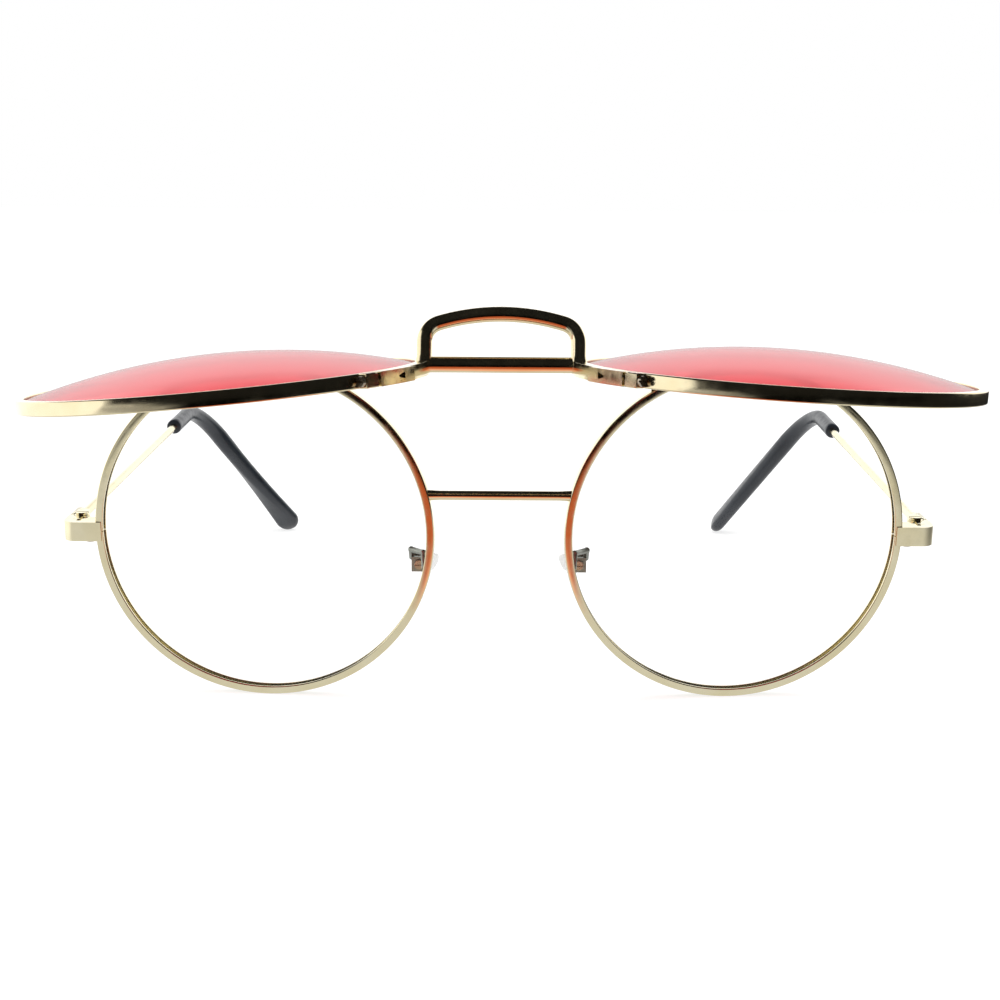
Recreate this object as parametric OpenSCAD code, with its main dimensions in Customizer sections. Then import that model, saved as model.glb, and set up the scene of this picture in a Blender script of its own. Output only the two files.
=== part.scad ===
// Round flip up sunglasses: a clear pair in thin gold wire with a tinted second pair hinged
// on its top. Left is -X and right is +X, the front faces -Y and the table is at z = 0.
// Every part is drawn upright, as worn, and stand() then tips the glasses onto their
// temple tips. The flip unit is drawn lowered and shown raised.

/* [Rims] */
// Radius of a rim, outside
rim_r = 26.2; // [24:0.1:29]
// Width of the rim wire, across its face
rim_w = 1.2; // [1.2:0.05:1.8]
// Depth of the rim wire, front to back
rim_depth = 1.8; // [1.6:0.05:2.4]
// Bevel on the rim wire's corners
rim_bevel = 0.25; // [0.1:0.05:0.35]
// Depth of the groove that holds a lens
groove_depth = 0.45; // [0.3:0.05:0.6]
// Width of the groove that holds a lens
groove_w = 1.0; // [0.8:0.05:1.1]
// Distance between the two rim centres
rim_pitch = 72; // [70:0.5:78]
// Angle by which each clear rim sweeps back at its temple side
base_wrap = 4; // [1:0.5:6]

/* [Lenses] */
// Thickness of a clear lens
clear_t = 1.7; // [1.5:0.1:2]
// Radius of the clear lenses' curve
clear_curve = 132; // [100:1:180]
// Thickness of a tinted lens
tint_t = 1.1; // [1.05:0.05:1.6]
// Radius of the tinted lenses' curve
tint_curve = 88; // [70:1:120]

/* [Bridge] */
// Diameter of the bridge bar
bridge_d = 1.45; // [1.2:0.05:2]
// Height of the bridge bar over the rim centres
bridge_rise = 6.4; // [2:0.1:8]
// Diameter of the brazed flare at each end of the bridge bar
bridge_flare_d = 1.75; // [1.6:0.05:2.2]

/* [Flip unit] */
// Distance from the clear rims' middle plane forward to the flip hinge axis
flip_gap = 4.5; // [4.2:0.1:6]
// Distance from that plane forward to the middle of the tinted rims' nose edges
flip_reach = 6.95; // [6.6:0.05:8]
// Angle by which the left tinted rim sweeps back
flip_wrap_left = 5.4; // [2:0.1:6]
// Angle by which the right tinted rim sweeps back
flip_wrap_right = 3.1; // [2:0.1:6]
// Opening angle from worn to raised
flip_open = 96; // [80:1:110]
// Diameter of the straight bar between the tinted rims
flip_bar_d = 2.1; // [1.4:0.05:2.2]
// Distance from the tinted rims' nose edges forward to the bar's middle
flip_bar_front = 0.35; // [0:0.05:0.8]
// Thickness of the strap that joins the bar to a rim
strap_t = 0.6; // [0.4:0.05:0.9]
// Angle along the rim that the strap covers
strap_span = 22.8; // [12:0.2:26]

/* [Finger arch] */
// Diameter of the arch wire
arch_d = 2; // [1.4:0.05:2.2]
// Distance from a rim's nose edge out to the middle of the arch's leg
arch_inset = 0.2; // [0:0.05:0.6]
// Height from the rim face to the middle of the arch's crown
arch_h = 6.15; // [5.6:0.05:9]
// Angle by which the arch leans up, as worn
arch_lean = 15; // [0:1:30]
// Radius of the arch's shoulder, at the middle of the wire
arch_shoulder = 2.6; // [1.5:0.1:2.8]
// Angle by which the crown's ends slope down
arch_slope = 17; // [8:1:22]

/* [Flip hinges] */
// Distance from the top of the rims down to the flip hinge axis
flip_axis_drop = 0.7; // [0:0.1:1.2]
// Distance from a rim's centre in to the middle of its flip hinge
flip_hinge_in = 13.5; // [13:0.1:15]
// Length of each flip hinge
flip_hinge_len = 6; // [5:0.1:7]
// Outside diameter of the flip hinge knuckles
flip_knuckle_d = 2.2; // [2:0.05:2.4]
// Diameter of the flip hinge pins
flip_pin_d = 1; // [0.8:0.05:1.2]

/* [Closing blocks] */
// Width of the saw cut that splits each rim
rim_cut = 0.4; // [0.3:0.05:0.6]
// Thickness of the tinted rims' closing blocks, beyond the rim
block_t = 1.4; // [1.3:0.05:1.8]
// Angle below the horizontal of the tinted rims' saw cuts
flip_cut_angle = 38.5; // [36:0.5:46]
// Angle along the rim that the short half of the closing block covers
cap_span = 4.5; // [4:0.5:12]
// Diameter of the closing screws
lock_screw_d = 0.8; // [0.6:0.05:0.9]

/* [Endpieces and temple hinges] */
// Distance from the outside of a rim to the outside of its endpiece
endpiece_reach = 5.1; // [4.8:0.1:7]
// Height of an endpiece
endpiece_h = 3; // [2.8:0.1:4]
// Distance from the rim centres down to the middle of the endpieces
endpiece_drop = 0.4; // [0:0.1:2]
// Thickness of the endpieces' arms and of the temples' flat ends
endpiece_t = 1.3; // [1.1:0.05:1.6]
// Distance from the clear rims' middle plane back to the temple hinge axis
hinge_y = 5.5; // [5.4:0.1:10]
// Outside diameter of the temple hinge knuckles
knuckle_d = 2.4; // [2:0.05:2.6]
// Diameter of the temple hinge screws
hinge_screw_d = 1.1; // [0.8:0.05:1.3]
// Thickness of the temple hinge leaves
leaf_t = 1; // [0.7:0.05:1.1]
// Length of the temple hinge leaves
leaf_len = 3.5; // [2.5:0.1:3.6]

/* [Temples] */
// Diameter of the temple wire
temple_d = 1.4; // [1.2:0.05:1.8]
// Length of the temple's flat end
butt_len = 4.5; // [4:0.1:7]
// Angle by which the left temple spreads toward its tip
temple_splay_left = -0.3; // [-2:0.1:3]
// Angle by which the right temple spreads toward its tip
temple_splay_right = 1.3; // [-2:0.1:3]
// Distance from the hinge axis to the start of the ear bend
bend_start = 87.5; // [75:0.5:100]
// Radius of the ear bend, at the middle of the wire
bend_r = 12; // [10:0.5:20]
// Angle of the ear bend
bend_angle = 75; // [50:1:80]
// Angle by which the left ear bend turns inward
bend_inward_left = 33; // [10:0.5:36]
// Angle by which the right ear bend turns inward
bend_inward_right = 33.5; // [10:0.5:36]
// Length of the straight run behind the ear bend, to where the tip's end starts to round
tail_len = 25; // [20:0.5:32]
// Length of the wire core in the straight run
core_len = 16; // [8:1:20]
// Length of the straight part of a tip, ahead of the ear bend
sleeve_len = 13; // [4:0.5:18]
// Diameter of a tip where it covers the wire
sleeve_d = 2.9; // [2.6:0.1:3.2]
// Thickness of a tip behind the ear bend
tip_t = 3.6; // [3.2:0.1:4]
// Width of a tip at its end
tip_w = 5.4; // [4:0.1:6]
// Thickness of a tip at its end
tip_end_t = 2.6; // [2.2:0.1:3.2]
// Angle by which the left tip's flat end is turned round its wire
tip_turn_left = 70; // [0:5:90]
// Angle by which the right tip's flat end is turned round its wire
tip_turn_right = 0; // [0:5:90]

/* [Nose pads] */
// Distance from a rim's nose edge out to the pivot of its nose pad
pad_pivot_in = 2.8; // [2.6:0.1:4.7]
// Distance from the clear rims' middle plane back to the pad pivots
pad_pivot_y = 6.7; // [5.5:0.1:8]
// Distance from the rim centres down to the pad pivots
pad_drop = 6.7; // [4:0.1:9]
// Height of a nose pad
pad_h = 13; // [11:0.5:15]
// Width of a nose pad
pad_w = 7.2; // [6:0.1:8.5]
// Thickness of a nose pad
pad_t = 2.4; // [2:0.1:2.8]
// Angle by which the pads close toward the top
pad_frontal = 16; // [5:1:22]
// Angle by which the pads open toward the back
pad_splay = 26; // [10:1:32]
// Diameter of the wire of the pad arms
pad_wire_d = 0.9; // [0.8:0.05:1.2]
// Diameter of the pad screws
pad_screw_d = 0.7; // [0.6:0.05:0.8]

/* [Clearances] */
// Gap between pieces that are brazed together
braze_gap = 0.01; // [0.005:0.005:0.02]
// Gap round a lens in its groove
lens_fit = 0.05; // [0.03:0.01:0.1]
// Gap round a pin or a screw in its bore
pin_fit = 0.05; // [0.02:0.01:0.09]
// Gap between hinge pieces that turn past each other
knuckle_gap = 0.1; // [0.05:0.05:0.15]
// Gap between a wire core and the tip that covers it
core_fit = 0.03; // [0.02:0.01:0.06]

/* [Hidden] */
$fn = 64;
lens_fn = 240;
hull_fn = 32;
wire_sides = 16;
bend_steps = 8;
tail_steps = 6;
// How much a bead stands proud of the pad arm's wire where two straight runs meet
bead = 0.05;
gold = [0.84, 0.74, 0.54];
dark_gold = [0.62, 0.5, 0.34];
slate = [0.13, 0.16, 0.2];
clear = [0.86, 0.92, 0.94, 0.35];
red = [0.86, 0.2, 0.22, 0.6];
silicone = [0.9, 0.92, 0.92, 0.6];

half_pitch = rim_pitch / 2;
rim_inner = rim_r - rim_w;
rim_mid = rim_r - rim_w / 2;
rim_half = rim_depth / 2;
lens_r = rim_inner + groove_depth - lens_fit;
lens_body_r = rim_inner - 2 * lens_fit;
lens_tongue = groove_w - lens_fit;

// Where the flip unit turns, and how far its parts reach
flip_axis = [0, -flip_gap, 2 * rim_r - flip_axis_drop];
flip_hinge_x = half_pitch - flip_hinge_in;
flip_knuckle_r = flip_knuckle_d / 2;
flip_bar_y = -flip_reach - flip_bar_front;

// Endpieces and temple hinges
endpiece_x = half_pitch + rim_r + endpiece_reach;
endpiece_lap = 0.9;
end_z = rim_r - endpiece_drop;
end_low = end_z - endpiece_h / 2;
end_high = end_z + endpiece_h / 2;
arm_x = endpiece_x - endpiece_t;
plate_front = (rim_r + rim_w) * sin(base_wrap) - rim_half - 0.4;
plate_t = 1.2;
corner = 2;
hinge_in = 0.7;
hinge_x = arm_x - hinge_in;
knuckle_r = knuckle_d / 2;
swing_r = knuckle_r + knuckle_gap;
knuckle_h = (endpiece_h - 2 * knuckle_gap) / 3;
butt_gap = 0.1;
butt_end = hinge_y + butt_gap + butt_len;
temple_x = endpiece_x - endpiece_t / 2;

foot = rim_half - rim_bevel;

// Pieces of the nose pad mounting, seen from the pivot
pad_pivot_x = half_pitch - rim_r + pad_pivot_in;
pad_z = rim_r - pad_drop;
cheek_t = 0.6;
tab_t = 1.3;
box_x = 0.8;
box_h = 2.4;
box_back = 0.4;
box_half = tab_t / 2 + cheek_t + knuckle_gap;
pad_reach = 2.3;

// Angles that differ a little between the two sides, as hand bent wire does
function temple_splay(s) = s > 0 ? temple_splay_right : temple_splay_left;
function bend_inward(s) = s > 0 ? bend_inward_right : bend_inward_left;
function tip_turn(s) = s > 0 ? tip_turn_right : tip_turn_left;

// Stations of a wire that follows the temple's run, the ear bend and a straight tail
function bend_station(a, r) = [bend_r * sin(a), bend_r * (1 - cos(a)), a, r, 0, 0];
function tail_station(t, r, off, turn) =
    bend_station(bend_angle, r) + [t * cos(bend_angle), t * sin(bend_angle), 0, 0, off, turn];
function bent_wire(start, tail, r) = [
    [start, 0, 0, r, 0, 0],
    for (i = [0:bend_steps]) bend_station(i * bend_angle / bend_steps, r),
    tail_station(tail, r, 0, 0)
];

// A plastic tip: a sleeve, the ear bend and a paddle that widens to its rounded end
round_in = 0.3;
sleeve_r = sleeve_d / 2;
tip_r = tip_t / 2;
tip_end_r = tip_end_t / 2;
tip_off = (tip_w - tip_end_t) / 2;
function tip_path(s) = [
    [-sleeve_len, 0, 0, sleeve_r - round_in, 0, 0],
    [round_in - sleeve_len, 0, 0, sleeve_r, 0, 0],
    for (i = [0:bend_steps]) let (k = i / bend_steps)
        bend_station(k * bend_angle, sleeve_r + k * (tip_r - sleeve_r)),
    for (i = [1:tail_steps]) let (k = i / tail_steps)
        tail_station(k * tail_len, tip_r + k * (tip_end_r - tip_r), k * tip_off, k * tip_turn(s)),
    for (a = [20:20:80])
        tail_station(tail_len + tip_w / 2 * sin(a), tip_end_r * cos(a), tip_off * cos(a), tip_turn(s))
];

// The glasses lean until the lower of the two tips touches the table behind the rims
function touch_angle(p, s) =
    let (
        i = bend_inward(s),
        x = -p.z * cos(i) - p.y * sin(i),
        z = end_z + p.z * sin(i) - p.y * cos(i),
        y = hinge_y - x * sin(temple_splay(s)) + (bend_start + p.x) * cos(temple_splay(s))
    )
        -atan2(z, y + foot);
lean = max([for (s = [-1, 1], st = tip_path(s), p = section(st)) touch_angle(p, s)]);
lift = foot * sin(lean);

// Places the upright glasses on the table
module stand() {
    translate([0, 0, lift]) rotate([lean, 0, 0]) children();
}

// Draws a right hand part on the side s, which is 1 for right and -1 for left
module side(s) {
    if (s > 0) children();
    if (s < 0) mirror([1, 0, 0]) children();
}

// Turns the flip unit from worn to raised
module raised() {
    translate(flip_axis) rotate([-flip_open, 0, 0]) translate(-flip_axis) children();
}

// A right hand rim's own frame: its axis is z, its front is +z and the nose lies at 180 degrees
module at_rim(y, wrap) {
    translate([half_pitch, y, rim_r]) rotate([0, 0, wrap]) rotate([90, 0, 0]) children();
}

module at_base_rim() {
    at_rim(0, base_wrap) children();
}

function flip_wrap(s) = s > 0 ? flip_wrap_right : flip_wrap_left;

// The two tinted rims meet the bar at one height and sweep back from there
module at_flip_rim(s) {
    at_rim(rim_r * sin(flip_wrap(s)) - flip_reach, flip_wrap(s)) children();
}

// A ring or a part of one, between two radii, two heights and two angles
module sector(r0, r1, z0, z1, a0, a1) {
    rotate([0, 0, a0])
        rotate_extrude(angle = a1 - a0)
            translate([r0, z0]) square([r1 - r0, z1 - z0]);
}

// A round rod from p to q
module rod(p, q, r) {
    d = q - p;
    translate(p)
        rotate([0, acos(d.z / norm(d)), atan2(d.y, d.x)])
            cylinder(h = norm(d), r = r);
}

// Outline of a wire at a station, which is [x, y, direction, radius, half the distance between
// the two centres of its rounded section, turn of the section]
function section(st) = [
    for (k = [0:wire_sides - 1])
        let (
            a = 360 * k / wire_sides,
            u = st[3] * cos(a) + st[4] * sign(cos(a)),
            v = st[3] * sin(a),
            w = u * cos(st[5]) - v * sin(st[5])
        )
            [st[0] - w * sin(st[2]), st[1] + w * cos(st[2]), u * sin(st[5]) + v * cos(st[5])]
];

// A wire swept through stations in the xy plane
module swept(stations) {
    n = wire_sides;
    rings = len(stations);
    points = [for (st = stations) each section(st)];
    sides = [
        for (i = [0:rings - 2], k = [0:n - 1], half = [0, 1])
            let (a = i * n + k, b = i * n + (k + 1) % n)
                half == 0 ? [a, b + n, b] : [a, a + n, b + n]
    ];
    caps = [
        for (k = [1:n - 2]) [0, k, k + 1],
        for (k = [1:n - 2]) (rings - 1) * n * [1, 1, 1] + [0, k + 1, k]
    ];
    polyhedron(points = points, faces = concat(sides, caps));
}

// A grooved rim wire, closed to a circle but for one saw cut
module rim_wire(cut_angle) {
    half_groove = groove_w / 2;
    bottom = rim_inner + groove_depth;
    difference() {
        rotate_extrude($fn = 128)
            polygon([
                [rim_inner, -rim_half + rim_bevel],
                [rim_inner + rim_bevel, -rim_half],
                [rim_r - rim_bevel, -rim_half],
                [rim_r, -rim_half + rim_bevel],
                [rim_r, rim_half - rim_bevel],
                [rim_r - rim_bevel, rim_half],
                [rim_inner + rim_bevel, rim_half],
                [rim_inner, rim_half - rim_bevel],
                [rim_inner, half_groove],
                [bottom, half_groove],
                [bottom, -half_groove],
                [rim_inner, -half_groove]
            ]);
        rotate([0, 0, cut_angle])
            translate([rim_inner - 1, -rim_cut / 2, -rim_depth])
                cube([rim_w + 2, rim_cut, 2 * rim_depth]);
    }
}

// The space that a rim wire takes, with the brazing gap
module rim_space() {
    sector(rim_inner - 1, rim_r + braze_gap, -rim_half - braze_gap, rim_half + braze_gap, 0, 360);
}

// Everything inside a rim's outer edge, to seat a piece against that edge
module rim_disc() {
    cylinder(h = 4 * rim_depth, r = rim_r + braze_gap, center = true, $fn = 128);
}

// A domed lens with a thin tongue round its edge that sits in the rim's groove
module lens(curve, t) {
    centre = t / 2 - sqrt(curve * curve - lens_body_r * lens_body_r);
    intersection() {
        cylinder(h = curve, r = lens_body_r, center = true, $fn = 128);
        difference() {
            translate([0, 0, centre]) sphere(r = curve, $fn = lens_fn);
            translate([0, 0, centre - t]) sphere(r = curve, $fn = lens_fn);
        }
    }
    difference() {
        cylinder(h = lens_tongue, r = lens_r, center = true, $fn = 128);
        cylinder(h = 2 * lens_tongue, r = lens_body_r - 0.2, center = true, $fn = 128);
    }
}

// Angle, seen from the rim's middle, of the clear rims' saw cut at the endpiece
base_cut_angle = -asin(endpiece_drop / rim_r);

module base_rim() {
    at_base_rim() rim_wire(base_cut_angle);
}

module clear_lens() {
    at_base_rim() lens(clear_curve, clear_t);
}

// The straight bar over the nose
module bridge_bar() {
    reach = half_pitch - sqrt(rim_r * rim_r - bridge_rise * bridge_rise) + rim_w;
    bar_y = -rim_r * sin(base_wrap);
    flare_len = 1.6;
    color(gold) stand() difference() {
        translate([0, bar_y, rim_r + bridge_rise]) rotate([0, 90, 0]) {
            cylinder(h = 2 * reach, d = bridge_d, center = true);
            for (k = [0, 1]) mirror([0, 0, k])
                translate([0, 0, reach - rim_w - flare_len])
                    cylinder(h = flare_len + rim_w, d1 = bridge_d, d2 = bridge_flare_d);
        }
        for (s = [-1, 1]) side(s) at_base_rim() rim_disc();
    }
}

// Screw of the closing block at an endpiece, upright behind the front plate
block_depth = 2.2;
block_x = 2.4;
lock_out = 1.3;
lock_x = rim_r * cos(base_wrap) + half_pitch + lock_out;
lock_y = plate_front + plate_t + block_depth / 2;
lock_r = lock_screw_d / 2;
lock_roof = 0.3;

// Half of the closing block, from z0 to z1, set against the rim
module lock_block(z0, z1) {
    translate([lock_x - block_x / 2, plate_front + plate_t + braze_gap, z0])
        cube([block_x, block_depth, z1 - z0]);
}

// Front plate, side arm and the upper half of the closing block
module endpiece() {
    difference() {
        union() {
            translate([half_pitch + rim_r - endpiece_lap, plate_front, end_low])
                cube([endpiece_reach + endpiece_lap - corner, plate_t, endpiece_h]);
            translate([endpiece_x - corner, plate_front + corner, end_low])
                sector(0, corner, 0, endpiece_h, -90, 0);
            translate([arm_x, plate_front + corner, end_low])
                cube([endpiece_t, hinge_y - plate_front - corner, endpiece_h]);
            translate([0, -braze_gap * 2, 0]) lock_block(end_z + rim_cut / 2, end_high);
        }
        at_base_rim() rim_space();
        translate([hinge_x, hinge_y, end_low - 1]) cylinder(h = endpiece_h + 2, r = swing_r);
        translate([lock_x, lock_y, end_low - 1])
            cylinder(h = endpiece_h + 1 - lock_roof, r = lock_r + pin_fit);
    }
}

// Lower half of the clear rim's closing block
module closing_block() {
    difference() {
        lock_block(end_low, end_z - rim_cut / 2);
        at_base_rim() rim_space();
        translate([lock_x, lock_y, end_low - 1])
            cylinder(h = endpiece_h, r = lock_r + pin_fit);
    }
}

// How far a screw's head stands out round its shaft
head_lip = 0.4;

// A small screw along z with a slotted head below z = 0
module slotted_screw(len, r, head_r, head_h) {
    slot_w = 0.25;
    cylinder(h = len, r = r);
    difference() {
        translate([0, 0, -head_h]) cylinder(h = head_h, r = head_r);
        translate([-head_r - 1, -slot_w / 2, -head_h - 1])
            cube([2 * head_r + 2, slot_w, 1 + head_h / 2]);
    }
}

module rim_screw() {
    translate([lock_x, lock_y, end_low - braze_gap])
        slotted_screw(endpiece_h - 2 * lock_roof, lock_r, lock_r + head_lip, 0.5);
}

// Height at which a temple hinge knuckle starts, counted from the bottom
function knuckle_z(i) = end_low + i * (knuckle_h + knuckle_gap);

module knuckle(i) {
    translate([hinge_x, hinge_y, knuckle_z(i)]) cylinder(h = knuckle_h, r = knuckle_r);
}

// Room for a knuckle of the other leaf
module knuckle_room(i) {
    translate([hinge_x, hinge_y, knuckle_z(i) - knuckle_gap])
        cylinder(h = knuckle_h + 2 * knuckle_gap, r = swing_r);
}

module hinge_bore() {
    translate([hinge_x, hinge_y, end_low - 1])
        cylinder(h = endpiece_h + 2, r = hinge_screw_d / 2 + pin_fit);
}

// The leaf that is brazed inside the endpiece, with two knuckles
module hinge_front() {
    start = max(hinge_y - leaf_len, plate_front + corner + knuckle_gap);
    difference() {
        union() {
            translate([arm_x - leaf_t - braze_gap, start, end_low])
                cube([leaf_t, hinge_y - start, endpiece_h]);
            for (i = [0, 2]) knuckle(i);
        }
        knuckle_room(1);
        hinge_bore();
    }
}

// The leaf that is brazed inside the temple, with the middle knuckle
module hinge_temple() {
    difference() {
        union() {
            translate([arm_x - leaf_t - braze_gap, hinge_y, end_low])
                cube([leaf_t, leaf_len, endpiece_h]);
            knuckle(1);
        }
        for (i = [0, 2]) knuckle_room(i);
        hinge_bore();
    }
}

module hinge_screw() {
    translate([hinge_x, hinge_y, end_high + braze_gap]) mirror([0, 0, 1])
        slotted_screw(endpiece_h, hinge_screw_d / 2, hinge_screw_d / 2 + head_lip, 0.45);
}

// Moves into the plane of the ear bend, with x along the run and y toward the inside of the bend
module in_bend(s) {
    translate([temple_x, hinge_y, end_z]) rotate([0, 0, -temple_splay(s)])
        translate([0, bend_start, 0]) rotate([0, bend_inward(s), 0])
            rotate([0, -90, 0]) rotate([0, 0, 90]) children();
}

// Flat end, wire and the core inside the tip
module temple(s) {
    wire_start = butt_len - 1;
    difference() {
        translate([arm_x, hinge_y + butt_gap, end_low]) cube([endpiece_t, butt_len, endpiece_h]);
        translate([hinge_x, hinge_y, end_low - 1]) cylinder(h = endpiece_h + 2, r = swing_r);
    }
    in_bend(s) swept(bent_wire(wire_start - bend_start, core_len, temple_d / 2));
}

module temple_tip(s) {
    in_bend(s) difference() {
        swept(tip_path(s));
        swept(bent_wire(-sleeve_len - 1, core_len + core_fit, temple_d / 2 + core_fit));
    }
}

// The pad pivot's frame: the pivot is along y
module at_pad() {
    translate([pad_pivot_x, pad_pivot_y, pad_z]) children();
}

// Wire from the back of the rim to the little box that carries the pad
module pad_arm() {
    r = pad_wire_d / 2;
    foot_angle = 15;
    rim_x = half_pitch - rim_mid * cos(foot_angle) * cos(base_wrap);
    rim_y = -rim_mid * cos(foot_angle) * sin(base_wrap);
    start = [rim_x, rim_y, rim_r - rim_mid * sin(foot_angle)];
    elbow_out = 0.4;
    elbow_back = 3.4;
    elbow_up = 3;
    neck = [box_x + box_back, -1.8, 2.6];
    path = [
        start,
        [rim_x + elbow_out, rim_y + elbow_back, pad_z + elbow_up],
        [pad_pivot_x, pad_pivot_y, pad_z] + neck,
        [pad_pivot_x + box_x + box_back, pad_pivot_y, pad_z + box_h / 2 - r]
    ];
    difference() {
        union() {
            for (i = [0:2]) rod(path[i], path[i + 1], r);
            for (i = [1:2]) translate(path[i]) sphere(r = r + bead);
            at_pad() difference() {
                translate([-box_x, -box_half, -box_h / 2])
                    cube([2 * box_x + box_back, 2 * box_half, box_h]);
                translate([-box_x - 1, -tab_t / 2 - knuckle_gap, -box_h])
                    cube([2 * box_x + 1, tab_t + 2 * knuckle_gap, 2 * box_h]);
            }
        }
        at_base_rim() rim_space();
        at_pad() rotate([90, 0, 0])
            cylinder(h = 4 * box_half, r = pad_screw_d / 2 + pin_fit, center = true, $fn = 32);
    }
}

module pad_screw() {
    at_pad() translate([0, -box_half - braze_gap, 0]) rotate([-90, 0, 0])
        slotted_screw(2 * box_half, pad_screw_d / 2, pad_screw_d / 2 + head_lip, 0.35, $fn = 32);
}

// The pad's own frame, with its thickness along x
module at_pad_face() {
    at_pad() translate([-pad_reach, 0, 0]) rotate([0, -pad_frontal, 0])
        rotate([0, 0, pad_splay]) children();
}

// Backing disc and the tab that turns on the pad screw
module pad_core() {
    tab_h = 1.4;
    disc_r = 1.4;
    disc_t = 0.4;
    sunk = 0.1;
    difference() {
        union() {
            at_pad_face() rotate([0, 90, 0]) cylinder(h = disc_t, r = disc_r);
            at_pad() translate([-pad_reach - sunk, -tab_t / 2, -tab_h / 2])
                cube([pad_reach + sunk, tab_t, tab_h]);
            at_pad() rotate([90, 0, 0]) cylinder(h = tab_t, d = tab_h, center = true);
        }
        at_pad() rotate([90, 0, 0])
            cylinder(h = 4 * box_half, r = pad_screw_d / 2 + pin_fit, center = true, $fn = 32);
        at_pad_face() translate([-pad_w, -pad_w / 2, -pad_w / 2]) cube(pad_w);
    }
}

// Soft drop shaped pad, wider below
module nose_pad() {
    low_r = pad_w / 2;
    high_r = 0.8 * low_r;
    rim_t = pad_t / 3;
    crown = 0.9;
    at_pad_face() translate([-pad_t / 2 - braze_gap, 0, 0]) hull() {
        for (k = [[low_r, low_r - pad_h / 2], [high_r, pad_h / 2 - high_r]])
            translate([0, 0, k[1]]) rotate([0, 90, 0]) {
                cylinder(h = rim_t, r = k[0], center = true, $fn = hull_fn);
                cylinder(h = pad_t, r = k[0] - crown, center = true, $fn = hull_fn);
            }
    }
}

// Length of the outer knuckles of a flip hinge; the middle one is twice as long
flip_end = (flip_hinge_len - 2 * knuckle_gap) / 4;

// A stretch of the flip hinge's barrel, from x0 to x1 counted from its middle
module flip_barrel(x0, x1, r) {
    translate([flip_hinge_x + x0, flip_axis.y, flip_axis.z]) rotate([0, 90, 0])
        cylinder(h = x1 - x0, r = r);
}

module flip_bore() {
    flip_barrel(-flip_hinge_len, flip_hinge_len, flip_pin_d / 2 + pin_fit);
}

// Foot on the clear rim, a rail over it and two arms that carry the outer knuckles
module flip_base_leaf() {
    half = flip_hinge_len / 2;
    plate = 1.2;
    arm_h = 1.2;
    low = rim_r + sqrt(rim_r * rim_r - pow(half_pitch - flip_hinge_x + half, 2)) - rim_w;
    back = -(half_pitch - flip_hinge_x) * sin(base_wrap) + plate / 2;
    difference() {
        union() {
            translate([flip_hinge_x, back - plate, low])
                cube([half, plate, flip_axis.z + arm_h / 2 - low]);
            translate([flip_hinge_x - half, back - plate, flip_axis.z - arm_h / 2])
                cube([flip_hinge_len, plate, arm_h]);
            for (x0 = [-half, half - flip_end]) {
                translate([flip_hinge_x + x0, flip_axis.y, flip_axis.z - arm_h / 2])
                    cube([flip_end, back - flip_axis.y, arm_h]);
                flip_barrel(x0, x0 + flip_end, flip_knuckle_r);
            }
        }
        flip_bore();
        at_base_rim() rim_disc();
    }
}

// Plate on the tinted rim with the middle knuckle
module flip_leaf(s) {
    half = flip_end;
    plate = 1.6;
    step_out = 0.7;
    low = rim_r + sqrt(rim_r * rim_r - pow(half_pitch - flip_hinge_x + half, 2)) - rim_w;
    difference() {
        union() {
            translate([flip_hinge_x - half, flip_axis.y - flip_knuckle_r - step_out, low])
                cube([2 * half, plate, flip_axis.z - low]);
            flip_barrel(-half, half, flip_knuckle_r);
        }
        flip_bore();
        at_flip_rim(s) rim_disc();
    }
}

module flip_pin() {
    flip_barrel(-flip_hinge_len / 2, flip_hinge_len / 2, flip_pin_d / 2);
}

// Angle of the tinted rims' saw cut, at the lower nose side
flip_cut = 180 + flip_cut_angle;
block_start = 180 + strap_span + 0.2;
cut_half_angle = asin(rim_cut / 2 / rim_r);
block_r = rim_r + braze_gap + block_t;

// Screw hole across the saw cut, along the rim; the screw's head is beyond the short half
module at_flip_screw() {
    rotate([0, 0, flip_cut]) translate([rim_r + braze_gap + block_t / 2, 0, 0])
        rotate([90, 0, 0]) children();
}

cap_len = cap_span * PI / 180 * rim_r;
// How deep the closing screw goes into the long half
screw_bite = 3;
head_gap = 0.3;

module flip_screw_bore() {
    at_flip_screw() cylinder(h = 2 * (cap_len + screw_bite), r = lock_r + pin_fit, center = true, $fn = 32);
}

module flip_block() {
    difference() {
        sector(rim_r + braze_gap, block_r, -rim_half, rim_half,
            block_start, flip_cut - cut_half_angle);
        flip_screw_bore();
    }
}

module flip_cap() {
    difference() {
        sector(rim_r + braze_gap, block_r, -rim_half, rim_half,
            flip_cut + cut_half_angle, flip_cut + cap_span);
        flip_screw_bore();
    }
}

module flip_screw() {
    at_flip_screw() translate([0, 0, -cap_len - head_gap])
        slotted_screw(cap_len + screw_bite, lock_r, lock_r + 0.25, 0.45, $fn = 32);
}

// Bar across the nose and the straps that carry it along each tinted rim
module bar_and_straps(grow) {
    reach = half_pitch - rim_r - strap_t / 2;
    translate([0, flip_bar_y, rim_r]) rotate([0, 90, 0])
        cylinder(h = 2 * reach, r = flip_bar_d / 2 + grow, center = true);
    for (s = [-1, 1]) side(s) at_flip_rim(s)
        sector(rim_r + braze_gap, rim_r + braze_gap + strap_t + grow, -rim_half,
            rim_half + grow, 180 - 3, 180 + strap_span);
}

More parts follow.
